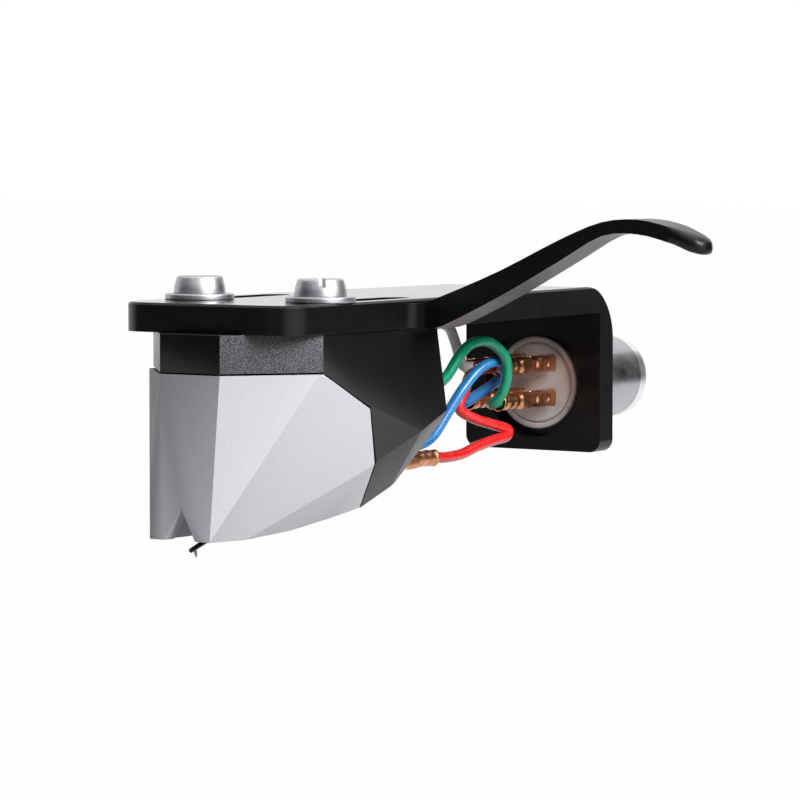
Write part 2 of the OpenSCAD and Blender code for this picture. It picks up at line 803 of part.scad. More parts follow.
headshell();
connector_barrel();
key_pin();
barrel_gasket();
contact_insulator();
contact_pin(1);  // contact_pin_1
contact_pin(2);  // contact_pin_2
contact_pin(3);  // contact_pin_3
contact_pin(4);  // contact_pin_4
mount_screw(-1);  // mount_screw_left
mount_screw(1);  // mount_screw_right
washer(-1);  // washer_left
washer(1);  // washer_right
body_shell();
magnetic_shield();
terminal_block();
terminal_pin(1);  // terminal_pin_1
terminal_pin(2);  // terminal_pin_2
terminal_pin(3);  // terminal_pin_3
terminal_pin(4);  // terminal_pin_4
coil(1);  // coil_1
coil(2);  // coil_2
coil(3);  // coil_3
coil(4);  // coil_4
pole_piece(1);  // pole_piece_1
pole_piece(2);  // pole_piece_2
pole_piece(3);  // pole_piece_3
pole_piece(4);  // pole_piece_4
stylus_housing();
stylus_tube();
tube_plug();
damper_ring();
tie_wire();
pivot_collar();
cantilever();
magnet();
stylus_tip();
lead_red();
lead_green();
lead_blue();
lead_white();
shell_clip(1, 1);  // shell_clip_red
shell_clip(1, -1);  // shell_clip_green
shell_clip(-1, -1);  // shell_clip_blue
shell_clip(-1, 1);  // shell_clip_white
body_clip(1, terminal_lower_z);  // body_clip_red
body_clip(1, terminal_upper_z);  // body_clip_green
body_clip(-1, terminal_lower_z);  // body_clip_blue
body_clip(-1, terminal_upper_z);  // body_clip_white
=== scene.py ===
"""Looks of a turntable stylus cartridge screwed under its headshell, with its four leads."""

import logging
import math
from collections.abc import Callable, Sequence
from dataclasses import dataclass, field
from enum import Enum

import bmesh
import bpy
from mathutils import Matrix, Vector


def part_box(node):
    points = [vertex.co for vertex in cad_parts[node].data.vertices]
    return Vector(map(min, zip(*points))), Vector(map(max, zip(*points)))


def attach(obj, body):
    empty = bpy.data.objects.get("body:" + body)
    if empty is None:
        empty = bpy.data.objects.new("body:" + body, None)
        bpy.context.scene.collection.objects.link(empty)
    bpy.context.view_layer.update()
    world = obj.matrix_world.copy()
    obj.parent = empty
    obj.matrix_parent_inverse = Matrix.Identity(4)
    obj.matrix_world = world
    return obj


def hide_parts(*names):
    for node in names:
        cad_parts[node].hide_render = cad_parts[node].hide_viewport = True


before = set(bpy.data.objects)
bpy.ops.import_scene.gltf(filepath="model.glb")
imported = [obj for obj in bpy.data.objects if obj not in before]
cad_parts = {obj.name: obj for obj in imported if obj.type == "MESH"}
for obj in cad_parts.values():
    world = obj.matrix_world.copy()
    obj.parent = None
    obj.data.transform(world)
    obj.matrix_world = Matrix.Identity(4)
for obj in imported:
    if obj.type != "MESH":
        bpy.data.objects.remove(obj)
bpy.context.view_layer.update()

MM = 0.001
# Length of the barrel behind the wall, in mm: the frame's origin is at its rear end.
BARREL_LEN = 12.8
# The least angle of an edge that gets broken, in degrees: between two walls, and between two facets.
WALL_CREASE = 22.0
FACET_CREASE = 9.0
# Edges over this many degrees stay sharp in the screws' shading.
SCREW_CREASE = 35.0
BEVEL_STEPS = 3
# Spacing of the broad unevenness in every finish's gloss, in mm.
GLOSS_PATCH = 2.5
ROOT = "headshell_unit"
STYLUS = "stylus_unit"
PIVOT = "pivot_unit"
CANTILEVER = "cantilever_unit"

log = logging.getLogger("cartridge")


class Side(Enum):
    """Which side of the headshell a thing is on, as the sign of x."""

    LIFT = 1
    FAR = -1


class Grain(Enum):
    """How a surface was made, with the detail of its bump's noise."""

    SMOOTH = ("smooth", 2.0)
    SPARK_ERODED = ("spark eroded", 3.0)
    BLASTED = ("bead blasted", 2.0)
    TURNED = ("turned", 1.0)
    CAST_PAINT = ("sprayed", 3.0)
    WOUND = ("wound wire", 0.0)


def to_linear(hex_colour: str) -> tuple[float, float, float, float]:
    """Turns an sRGB hex colour into linear values.

    Args:
        hex_colour: A colour such as "#18181b".

    Returns:
        Red, green, blue and an alpha of 1, linear.
    """
    values = [int(hex_colour[i : i + 2], 16) / 255 for i in (1, 3, 5)]
    linear = [v / 12.92 if v <= 0.04045 else ((v + 0.055) / 1.055) ** 2.4 for v in values]
    return (*linear, 1.0)


def add_node(
    tree: bpy.types.NodeTree, kind: str, settings: dict | None = None, links: dict | None = None
) -> bpy.types.Node:
    """Adds one node with its settings and its incoming links.

    Args:
        tree: The node tree that takes the node.
        kind: The node's type, such as "ShaderNodeTexNoise".
        settings: Property names, input names or input numbers, with their values.
        links: Input names or numbers, with the output socket that feeds each.

    Returns:
        The new node.
    """
    node = tree.nodes.new(kind)
    for name, value in (settings or {}).items():
        if isinstance(name, str) and hasattr(node, name):
            setattr(node, name, value)
        else:
            node.inputs[name].default_value = value
    for name, socket in (links or {}).items():
        tree.links.new(socket, node.inputs[name])
    return node


def new_material(name: str) -> bpy.types.Material:
    """Makes a node material with an empty tree.

    Args:
        name: The material's name.

    Returns:
        The new material.
    """
    made = bpy.data.materials.new(name)
    made.use_nodes = True
    made.node_tree.nodes.clear()
    return made


@dataclass(frozen=True)
class Finish:
    """One real material with the way its surface was made.

    Attributes:
        name: The material's common name and process.
        slot: The record's material slot that it stands for. Not used.
        colour: Main colour, sRGB hex.
        second: Colour of the fine variation, sRGB hex.
        metallic: 1 for bare metal, else 0.
        roughness: Middle roughness.
        spread: How far the roughness varies over the surface.
        ior: Index of refraction.
        grain: The pattern of the bump.
        grain_mm: Size of one grain or spacing of one line.
        relief_mm: Height of the relief.
        coat: Weight of a clear gloss layer.
        transmission: Share of light that passes through.
    """

    name: str
    slot: str
    colour: str
    second: str
    metallic: float = 0.0
    roughness: float = 0.5
    spread: float = 0.08
    ior: float = 1.5
    grain: Grain = Grain.SMOOTH
    grain_mm: float = 0.2
    relief_mm: float = 0.004
    coat: float = 0.0
    transmission: float = 0.0

    def material(self) -> bpy.types.Material:
        """Builds the finish as a node material, once.

        Returns:
            The material.
        """
        known = bpy.data.materials.get(self.name)
        if known:
            return known
        made = new_material(self.name)
        tree = made.node_tree
        place = add_node(tree, "ShaderNodeTexCoord").outputs["Object"]
        pattern = self.pattern(tree, place)
        patches = {"Scale": 1 / (GLOSS_PATCH * MM), "Detail": 4.0, "Roughness": 0.6}
        broad = add_node(tree, "ShaderNodeTexNoise", patches, {"Vector": place}).outputs["Fac"]
        spots = {"From Min": 0.35, "From Max": 0.7, "To Min": 0.0, "To Max": 1.0}
        share = add_node(tree, "ShaderNodeMapRange", spots, {"Value": pattern}).outputs["Result"]
        # The colour mix has its share at input 0, and its two colours at 6 and 7.
        colour = add_node(
            tree, "ShaderNodeMix",
            {"data_type": "RGBA", 6: to_linear(self.colour), 7: to_linear(self.second)}, {0: share},
        ).outputs[2]
        least, most = max(self.roughness - self.spread, 0.03), min(self.roughness + self.spread, 1.0)
        gloss = add_node(
            tree, "ShaderNodeMapRange",
            {"From Min": 0.3, "From Max": 0.7, "To Min": least, "To Max": most}, {"Value": broad},
        ).outputs["Result"]
        relief = {"Strength": 1.0, "Distance": self.relief_mm * MM}
        bump = add_node(tree, "ShaderNodeBump", relief, {"Height": pattern}).outputs["Normal"]
        shader = add_node(
            tree, "ShaderNodeBsdfPrincipled",
            {
                "Metallic": self.metallic, "IOR": self.ior, "Coat Weight": self.coat,
                "Coat Roughness": 0.12, "Transmission Weight": self.transmission,
            },
            {"Base Color": colour, "Roughness": gloss, "Normal": bump},
        )
        add_node(tree, "ShaderNodeOutputMaterial", {}, {"Surface": shader.outputs["BSDF"]})
        return made

    def pattern(self, tree: bpy.types.NodeTree, place: bpy.types.NodeSocket) -> bpy.types.NodeSocket:
        """Adds the nodes of the surface's fine pattern.

        Args:
            tree: The material's node tree.
            place: The position on the object, in metres.

        Returns:
            The socket with the pattern's height, from 0 to 1.
        """
        frequency = 1 / (self.grain_mm * MM)
        if self.grain is Grain.TURNED:
            # The tool leaves rings round the Y axis, so the pattern depends on y almost alone.
            squash = {"operation": "MULTIPLY", 1: (0.02, 1.0, 0.02)}
            place = add_node(tree, "ShaderNodeVectorMath", squash, {0: place}).outputs[0]
        if self.grain is Grain.WOUND:
            # The wave texture has about 3.2 bands in one unit of its scale.
            bands = {"bands_direction": "Y", "Scale": frequency / 3.2, "Distortion": 0.4}
            return add_node(tree, "ShaderNodeTexWave", bands, {"Vector": place}).outputs["Fac"]
        grit = {"Scale": frequency, "Detail": self.grain.value[1], "Roughness": 0.55}
        return add_node(tree, "ShaderNodeTexNoise", grit, {"Vector": place}).outputs["Fac"]


# Black anodised cast aluminium: a satin black with a faint blasted grain and soft highlights.
ANODISED_BLACK = Finish(
    "aluminium_anodised_black", "headshell_black", "#0d0d0f", "#121215",
    roughness=0.3, spread=0.03, grain=Grain.BLASTED, grain_mm=0.12, relief_mm=0.001, ior=1.34,
)
# The same casting, lapped flat before anodising: it mirrors the room at a low angle.
ANODISED_LAPPED = Finish(
    "aluminium_lapped_anodised_black", "headshell_black", "#0d0d0f", "#121215",
    roughness=0.12, spread=0.02, grain=Grain.BLASTED, grain_mm=0.12, relief_mm=0.0003, ior=1.7,
)
# Turned bare aluminium: fine rings round the barrel and a grey metal sheen.
ALUMINIUM_TURNED = Finish(
    "aluminium_turned", "barrel_metal", "#b2b3b8", "#b8b9bd",
    metallic=1.0, roughness=0.3, grain=Grain.TURNED, grain_mm=0.12, relief_mm=0.0004,
)
# The same aluminium in a brighter colour: a painted highlight on the band at the barrel's end and its
# round.
ALUMINIUM_PAINTED_HIGHLIGHT = Finish(
    "aluminium_painted_highlight", "barrel_metal", "#f0f0f2", "#f4f4f5",
    metallic=1.0, roughness=0.32, grain=Grain.TURNED, grain_mm=0.1, relief_mm=0.001,
)
# Spark-eroded ABS: the mould's sandy texture, drawn a little coarser than real so that it shows. Its
# colour is lighter than the body's own black: a painted sheen for the two facets beside the front.
ABS_SPARK_PAINTED_SHEEN = Finish(
    "abs_spark_eroded_painted_sheen", "body_black", "#222226", "#6a6a71",
    roughness=0.3, grain=Grain.SPARK_ERODED, grain_mm=0.14, relief_mm=0.06,
)
# The same ABS moulded against a fine satin tool face: calmer and evenly soft, in the body's own black
# without the facets' painted sheen.
ABS_SATIN_BLACK = Finish(
    "abs_satin_black", "body_black", "#0f0f12", "#131316",
    roughness=0.3, spread=0.02, grain=Grain.SPARK_ERODED, grain_mm=0.1, relief_mm=0.003, ior=1.45,
)
# Sprayed silver-grey ABS: matt with a very fine metallic speckle.
ABS_SILVER = Finish(
    "abs_sprayed_silver", "housing_silver", "#c9cbd0", "#d8dade",
    roughness=0.55, grain=Grain.CAST_PAINT, grain_mm=0.09, relief_mm=0.005,
)
# Nylon, moulded: off-white with a soft sheen.
NYLON_WHITE = Finish(
    "nylon_moulded_white", "insulator_white", "#f8f8fa", "#fbfbfb",
    roughness=0.4, ior=1.53, grain_mm=0.8, relief_mm=0.004,
)
# Nickel-plated steel, tumbled: a satin grey with a faint uneven skin.
STEEL_PLATED = Finish(
    "steel_nickel_plated", "plated_steel", "#b2b3b7", "#c2c3c6",
    metallic=1.0, roughness=0.43, grain_mm=0.16, relief_mm=0.008,
)
# Plain drawn steel with a dull sheen.
STEEL_DRAWN = Finish(
    "steel_drawn", "steel", "#9a9ca0", "#a8aaae",
    metallic=1.0, roughness=0.35, grain_mm=0.2, relief_mm=0.003,
)
# Gold flash over turned brass: warm and bright, with faint rings.
BRASS_GOLD_PLATED = Finish(
    "brass_gold_plated", "contact_gold", "#d9b066", "#e2bd78",
    metallic=1.0, roughness=0.22, grain=Grain.TURNED, grain_mm=0.1, relief_mm=0.002,
)
# Stamped bare copper alloy: bright pink-brown with small dents from the crimping tool.
COPPER_STAMPED = Finish(
    "copper_stamped", "clip_copper", "#cc8458", "#e0a682",
    metallic=1.0, roughness=0.32, grain_mm=0.7, relief_mm=0.012,
)
# Enamelled copper wire, wound: a dark red-brown with one fine rib for each turn.
COPPER_WOUND = Finish(
    "copper_enamelled_wound", "coil_copper", "#9c5327", "#c27a48",
    metallic=1.0, roughness=0.3, grain=Grain.WOUND, grain_mm=0.12, relief_mm=0.05,
)
# Nitrile rubber, moulded: dull black.
RUBBER_BLACK = Finish(
    "rubber_moulded_black", "gasket_rubber", "#161617", "#1f1f20",
    roughness=0.75, ior=1.52, grain_mm=0.25, relief_mm=0.006,
)
# Drawn aluminium tube: a plain grey metal with a soft sheen.
ALUMINIUM_DRAWN = Finish(
    "aluminium_drawn", "tube_metal", "#b6b7ba", "#c6c7ca",
    metallic=1.0, roughness=0.3, grain_mm=0.2, relief_mm=0.003,
)
# Turned brass: a warm dull yellow with fine rings.
BRASS_TURNED = Finish(
    "brass_turned", "plug_brass", "#b9974f", "#c8a862",
    metallic=1.0, roughness=0.28, grain=Grain.TURNED, grain_mm=0.08, relief_mm=0.002,
)
# Black anodised aluminium tube: near black, with a thin metal glint along it.
ALUMINIUM_DARK = Finish(
    "aluminium_anodised_dark", "cantilever_dark", "#202024", "#2b2b30",
    metallic=0.6, roughness=0.35, grain_mm=0.1, relief_mm=0.002,
)
# Nickel-plated rare-earth magnet: a dim grey mirror.
MAGNET_PLATED = Finish(
    "magnet_nickel_plated", "magnet_dark", "#6d6e73", "#7d7e83",
    metallic=1.0, roughness=0.3, grain_mm=0.2, relief_mm=0.003,
)
# Ground diamond on its dark shank: very high index, so a dark glint.
DIAMOND_GROUND = Finish(
    "diamond_ground", "diamond", "#3c3d42", "#4c4d52",
    roughness=0.06, spread=0.02, ior=2.42, transmission=0.3, grain_mm=0.1, relief_mm=0.001,
)


class LeadColour(Enum):
    """Extruded PVC in the four lead colours: main colour and its lighter streak."""

    RED = ("#e3191c", "#ee3436")
    GREEN = ("#00936c", "#08a077")
    BLUE = ("#2380c8", "#3b95da")
    WHITE = ("#dad8d8", "#e6e4e4")

    def finish(self) -> Finish:
        """Gives the PVC finish of this colour: smooth, with the sheen of an extruded skin.

        Returns:
            The finish.
        """
        word = self.name.lower()
        return Finish(
            f"pvc_extruded_{word}", f"lead_{word}", *self.value,
            roughness=0.3, ior=1.53, grain_mm=0.7, relief_mm=0.006, coat=0.2,
        )


def add_object(name: str, bm: bmesh.types.BMesh) -> bpy.types.Object:
    """Makes an object in the scene from a mesh.

    Args:
        name: The object's name.
        bm: The mesh, in metres. It is freed here.

    Returns:
        The new object.
    """
    mesh = bpy.data.meshes.new(name)
    bm.to_mesh(mesh)
    bm.free()
    made = bpy.data.objects.new(name, mesh)
    bpy.context.scene.collection.objects.link(made)
    return made


def new_piece(
    node: str, word: str, bm: bmesh.types.BMesh, finish: Finish, body: str
) -> bpy.types.Object:
    """Makes the visible piece that stands for one CAD node.

    Args:
        node: The CAD node's name.
        word: What the piece's own name adds to it, such as how the piece was made.
        bm: The mesh, in metres in the row's frame. It is freed here.
        finish: What the piece is made of.
        body: The body that it rides on.

    Returns:
        The new object.
    """
    bmesh.ops.recalc_face_normals(bm, faces=bm.faces)
    piece = add_object(f"{node}_{word}", bm)
    piece.data.shade_smooth()
    piece.data.materials.append(finish.material())
    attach(piece, body)
    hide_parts(node)
    log.info("%s: %d faces, %s", piece.name, len(piece.data.polygons), finish.name)
    return piece


def paint(
    piece: bpy.types.Object, finish: Finish, test: Callable[[bpy.types.MeshPolygon], bool]
) -> None:
    """Gives a second finish to some faces of a piece.

    Args:
        piece: The piece.
        finish: The second finish.
        test: Says whether a face takes it.
    """
    piece.data.materials.append(finish.material())
    for face in piece.data.polygons:
        face.material_index = 1 if test(face) else 0


def add_modifier(piece: bpy.types.Object, kind: str, **settings: object) -> None:
    """Adds a modifier with the given settings.

    Args:
        piece: The piece that takes it.
        kind: The modifier's type, such as "BEVEL".
        settings: Its property names with their values.
    """
    modifier = piece.modifiers.new(kind.lower(), kind)
    for key, value in settings.items():
        setattr(modifier, key, value)


def apply_modifiers(piece: bpy.types.Object) -> None:
    """Replaces a piece's mesh by what its modifiers give.

    Args:
        piece: The piece, which has no modifiers afterwards.
    """
    bpy.context.view_layer.update()
    shown = piece.evaluated_get(bpy.context.evaluated_depsgraph_get())
    solid = bpy.data.meshes.new_from_object(shown)
    piece.modifiers.clear()
    piece.data = solid


def clean_copy(node: str) -> bmesh.types.BMesh:
    """Copies a CAD node's mesh with its triangles joined into whole flat faces.

    Args:
        node: The CAD node's name.

    Returns:
        The mesh, in metres.
    """
    bm = bmesh.new()
    bm.from_mesh(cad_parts[node].data)
    bmesh.ops.remove_doubles(bm, verts=bm.verts, dist=0.0005 * MM)
    bmesh.ops.dissolve_limit(bm, angle_limit=math.radians(0.4), verts=bm.verts, edges=bm.edges)
    return bm


def rounded_copy(
    node: str, word: str, finish: Finish, body: str, edge_mm: float, crease: float = WALL_CREASE
) -> bpy.types.Object:
    """Stands for a CAD node, with softly broken edges.

    Args:
        node: The CAD node's name.
        word: What the piece's own name adds to it.
        finish: What it is made of.
        body: The body that it rides on.
        edge_mm: Width of the broken edges.
        crease: The least angle of an edge that is broken, in degrees.

    Returns:
        The new object.
    """
    piece = new_piece(node, word, clean_copy(node), finish, body)
    add_modifier(
        piece, "BEVEL", width=edge_mm * MM, segments=BEVEL_STEPS, limit_method="ANGLE",
        angle_limit=math.radians(crease), harden_normals=True, use_clamp_overlap=True,
    )
    return piece


def lathe(
    profile: Sequence[tuple[float, float]], steps: int = 96, centre: tuple[float, float] = (0, 0)
) -> bmesh.types.BMesh:
    """Turns a closed profile round an axis along Y.

    Args:
        profile: Corners as radius and y, in mm from the wall's rear face.
        steps: Faces round the axis.
        centre: The axis's x and z, in mm.

    Returns:
        The mesh, in metres.
    """
    bm = bmesh.new()
    rings = []
    for i in range(steps):
        turn = 2 * math.pi * i / steps
        rings.append([
            bm.verts.new(at(centre[0] + r * math.cos(turn), y, centre[1] + r * math.sin(turn)))
            for r, y in profile
        ])
    for i in range(steps):
        here, there = rings[i], rings[(i + 1) % steps]
        for k in range(len(profile)):
            m = (k + 1) % len(profile)
            bm.faces.new((here[k], here[m], there[m], there[k]))
    bmesh.ops.remove_doubles(bm, verts=bm.verts, dist=0.001 * MM)
    return bm


def at(x: float, y: float, z: float) -> Vector:
    """Returns a point given in mm from the wall's rear face, in metres in the row's frame."""
    return Vector((x, y - BARREL_LEN, z)) * MM


def rounded_profile(
    corners: Sequence[tuple[float, float, float]], steps: int = 5
) -> list[tuple[float, float]]:
    """Rounds the corners of a closed outline.

    Args:
        corners: Each corner's two places and its rounding radius, in mm.
        steps: Points on each round corner.

    Returns:
        The outline's points.
    """
    out: list[tuple[float, float]] = []
    count = len(corners)
    for i, (u, v, radius) in enumerate(corners):
        here = Vector((u, v))
        if radius <= 0:
            out.append((u, v))
            continue
        before = Vector(corners[i - 1][:2]) - here
        after = Vector(corners[(i + 1) % count][:2]) - here
        reach = min(radius, before.length * 0.45, after.length * 0.45)
        start = here + before.normalized() * reach
        end = here + after.normalized() * reach
        for s in range(steps + 1):
            k = s / steps
            point = start * (1 - k) ** 2 + here * 2 * k * (1 - k) + end * k**2
            out.append((point.x, point.y))
    return out


def smooth_route(points: Sequence[tuple[float, float, float]], steps: int = 8) -> list[Vector]:
    """Runs a smooth curve through given points.

    Args:
        points: The route, in mm from the wall's rear face.
        steps: Curve points for each stretch.

    Returns:
        Points in metres in the row's frame.
    """
    knots = [at(*p) for p in points]
    out = []
    for i in range(len(knots) - 1):
        a, b = knots[max(i - 1, 0)], knots[i]
        c, d = knots[i + 1], knots[min(i + 2, len(knots) - 1)]
        for s in range(steps):
            k = s / steps
            slope_b, slope_c = (c - a) / 2, (d - b) / 2
            out.append(
                b * (2 * k**3 - 3 * k**2 + 1) + slope_b * (k**3 - 2 * k**2 + k)
                + c * (3 * k**2 - 2 * k**3) + slope_c * (k**3 - k**2)
            )
    out.append(knots[-1])
    return out


def swept_tube(path: Sequence[Vector], radius: float, sides: int = 20) -> bmesh.types.BMesh:
    """Sweeps a round section along a path without twist.

    Args:
        path: Points in metres.
        radius: The tube's radius, in mm.
        sides: Faces round the tube.

    Returns:
        The closed tube.
    """
    bm = bmesh.new()
    side = Vector((1, 0, 0))
    rings = []
    r = radius * MM
    last = len(path) - 1
    for i, point in enumerate(path):
        travel = (path[min(i + 1, last)] - path[max(i - 1, 0)]).normalized()
        side = (side - travel * side.dot(travel)).normalized()
        up = travel.cross(side)
        rings.append([
            bm.verts.new(point + side * (r * math.cos(a)) + up * (r * math.sin(a)))
            for a in (2 * math.pi * k / sides for k in range(sides))
        ])
    for here, there in zip(rings, rings[1:]):
        for k in range(sides):
            m = (k + 1) % sides
            bm.faces.new((here[k], here[m], there[m], there[k]))
    bm.faces.new(rings[0])
    bm.faces.new(rings[-1])
    return bm


@dataclass
class Headshell:
    """The cast plate with its finger lift and rear wall, and the two mounting screws.

    Attributes:
        edge_mm: Width of the broken edges of the casting.
        end_from: Distance from the middle where the finger lift's end starts to grow round.
        end_pitch: Spacing of the cuts that make the lift's end fine enough to round.
        end_passes: Passes of smoothing at the very end.
        end_share: Share of the rounded stretch that takes fewer passes than the tip.
        screw_x: The screws' distance from the middle.
        screw_y: The screws' place, from the wall's rear face.
        plate_top: Height of the plate's top face.
        washer_t: Thickness of a washer.
        washer_r: Outer radius of a washer.
        washer_bore_r: Radius of a washer's hole.
        head_r: Radius of a screw head at its foot.
        top_r: Radius of a screw head at its top.
        head_h: Height of a screw head.
        head_side_h: Height of the head's upright part.
        shank_r: Radius over the screw's thread.
        thread_pitch: Spacing of the thread's grooves, which are drawn as rings.
        thread_deep: Depth of the thread.
        point_taper: How much thinner the screw's point is.
        thread_from: Length of the plain point below the thread.
        thread_to: Length of the plain neck above the thread.
        slot_w: Width of a driver slot.
        slot_deep: Depth of a driver slot.
        slot_turns: Direction of each driver slot, in degrees from the headshell's length.
    """

    edge_mm: float = 0.16
    end_from: float = 34.0
    end_pitch: float = 0.25
    end_passes: int = 40
    end_share: float = 0.7
    screw_x: float = 6.35
    screw_y: float = -47.4
    plate_top: float = 9.4
    washer_t: float = 0.5
    washer_r: float = 3.0
    washer_bore_r: float = 1.35
    head_r: float = 2.25
    top_r: float = 1.95
    head_h: float = 1.5
    head_side_h: float = 0.6
    shank_r: float = 1.22
    thread_pitch: float = 0.45
    thread_deep: float = 0.22
    point_taper: float = 0.35
    thread_from: float = 0.3
    thread_to: float = 0.6
    slot_w: float = 0.6
    slot_deep: float = 0.7
    slot_turns: dict[Side, float] = field(
        default_factory=lambda: {Side.LIFT: 39.0, Side.FAR: -57.0}
    )

    def build(self) -> None:
        """Builds every piece of the headshell."""
        paint(self.casting(), ANODISED_LAPPED, self.is_plate_top)
        for side, word in ((Side.FAR, "left"), (Side.LIFT, "right")):
            self.washer(side, word)
            self.screw(side, word)

    def is_plate_top(self, face: bpy.types.MeshPolygon) -> bool:
        """Says whether a face of the casting belongs to the plate's lapped top."""
        off = face.center.z / MM - self.plate_top
        return face.normal.z > 0.99 and -0.15 < off < 0.05

    def casting(self) -> bpy.types.Object:
        """Stands for the headshell with broken edges and a finger lift that ends round all over.

        Returns:
            The casting.
        """
        bm = clean_copy("headshell")
        self.round_lift_end(bm)
        weight = bm.edges.layers.float.new("bevel_weight_edge")
        for edge in bm.edges:
            sharp = edge.calc_face_angle(0.0) > math.radians(WALL_CREASE)
            edge[weight] = float(sharp and min(v.co.x for v in edge.verts) < self.end_from * MM)
        casting = new_piece("headshell", "casting", bm, ANODISED_BLACK, ROOT)
        add_modifier(
            casting, "BEVEL", width=self.edge_mm * MM, segments=BEVEL_STEPS, limit_method="WEIGHT",
            use_clamp_overlap=True,
        )
        add_modifier(casting, "WEIGHTED_NORMAL", mode="FACE_AREA_WITH_ANGLE", keep_sharp=True)
        return casting

    def round_lift_end(self, bm: bmesh.types.BMesh) -> None:
        """Rounds the finger lift's end, more strongly towards the tip.

        Args:
            bm: The headshell's mesh.
        """
        start, pitch = self.end_from * MM, self.end_pitch * MM
        tip = max(v.co.x for v in bm.verts)
        for axis in (0, 1, 2):
            plane = Vector([float(i == axis) for i in range(3)])
            end_verts = [v.co[axis] for v in bm.verts if v.co.x > start - MM]
            place, high = (start if axis == 0 else min(end_verts) + pitch / 2), max(end_verts)
            while place < high:
                faces = [f for f in bm.faces if max(v.co.x for v in f.verts) > start + 0.01 * MM]
                edges = {e for f in faces for e in f.edges}
                verts = {v for f in faces for v in f.verts}
                bmesh.ops.bisect_plane(
                    bm, geom=[*verts, *edges, *faces], dist=0.0001 * MM,
                    plane_co=plane * place, plane_no=plane,
                )
                place += pitch
        for step in range(self.end_passes):
            limit = start + (tip - start) * self.end_share * step / self.end_passes
            bmesh.ops.smooth_vert(
                bm, verts=[v for v in bm.verts if v.co.x > limit], factor=0.5,
                use_axis_x=True, use_axis_y=True, use_axis_z=True,
            )
        shrunk = tip - max(v.co.x for v in bm.verts)
        for vert in bm.verts:
            vert.co.x += shrunk * max((vert.co.x - start) / (tip - shrunk - start), 0.0)

    def standing(self, profile: Sequence[tuple[float, float]], side: Side) -> bmesh.types.BMesh:
        """Turns a profile of radius and height round a screw's upright axis.

        Args:
            profile: Corners as radius and z, in mm.
            side: Which screw.

        Returns:
            The mesh, in metres.
        """
        bm = lathe(profile)
        turned = Matrix.Translation(at(side.value * self.screw_x, self.screw_y, 0))
        upright = Matrix.Rotation(math.radians(90), 4, "X")
        home = Matrix.Translation(-at(0, 0, 0))
        bmesh.ops.transform(bm, matrix=turned @ upright @ home, verts=bm.verts)
        return bm

    def washer(self, side: Side, word: str) -> None:
        """Builds one washer with rounded rims.

        Args:
            side: Which screw it lies under.
            word: The side's word in the node's name.
        """
        low, high = self.plate_top, self.plate_top + self.washer_t
        profile = rounded_profile([
            (self.washer_bore_r, low, 0.05), (self.washer_r, low, 0.08),
            (self.washer_r, high, 0.15), (self.washer_bore_r, high, 0.1),
        ])
        new_piece(f"washer_{word}", "turned", self.standing(profile, side), STEEL_PLATED, ROOT)

    def screw(self, side: Side, word: str) -> None:
        """Builds one slotted screw, with rings for its thread and a slightly conical head.

        Args:
            side: Which screw it is.
            word: The side's word in the node's name.
        """
        low = self.plate_top + self.washer_t
        high = low + self.head_h
        node = f"mount_screw_{word}"
        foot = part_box(node)[0].z / MM
        root_r = self.shank_r - self.thread_deep
        thread = []
        z = foot + self.thread_from
        while z < low - self.thread_to:
            thread += [(root_r, z), (self.shank_r, z + self.thread_pitch / 2)]
            z += self.thread_pitch
        head = rounded_profile([
            (self.shank_r, low, 0), (self.head_r, low, 0.1),
            (self.head_r - 0.05, low + self.head_side_h, 0.3), (self.top_r, high, 0.2), (0.0, high, 0),
        ])
        neck = (self.shank_r, low - self.thread_to / 2)
        profile = [(0.0, foot), (self.shank_r - self.point_taper, foot), *thread, neck, *head]
        screw = new_piece(node, "slotted", self.standing(profile, side), STEEL_PLATED, ROOT)
        self.cut_slot(screw, side, high)

    def cut_slot(self, screw: bpy.types.Object, side: Side, high: float) -> None:
        """Cuts the driver slot across a screw head.

        Args:
            screw: The screw.
            side: Which screw it is.
            high: Height of the head's top, in mm.
        """
        bm = bmesh.new()
        bmesh.ops.create_cube(bm, size=1.0)
        size = Matrix.Diagonal((self.slot_w * MM, 3 * self.head_r * MM, 2 * self.slot_deep * MM, 1))
        turn = Matrix.Rotation(math.radians(self.slot_turns[side]), 4, "Z")
        place = Matrix.Translation(at(side.value * self.screw_x, self.screw_y, high))
        bmesh.ops.transform(bm, matrix=place @ turn @ size, verts=bm.verts)
        cutter = add_object("slot_cutter", bm)
        add_modifier(screw, "BOOLEAN", operation="DIFFERENCE", object=cutter, solver="EXACT")
        apply_modifiers(screw)
        bpy.data.objects.remove(cutter)
        bm = bmesh.new()
        bm.from_mesh(screw.data)
        for edge in bm.edges:
            edge.smooth = edge.calc_face_angle(0.0) < math.radians(SCREW_CREASE)
        bm.to_mesh(screw.data)
        bm.free()


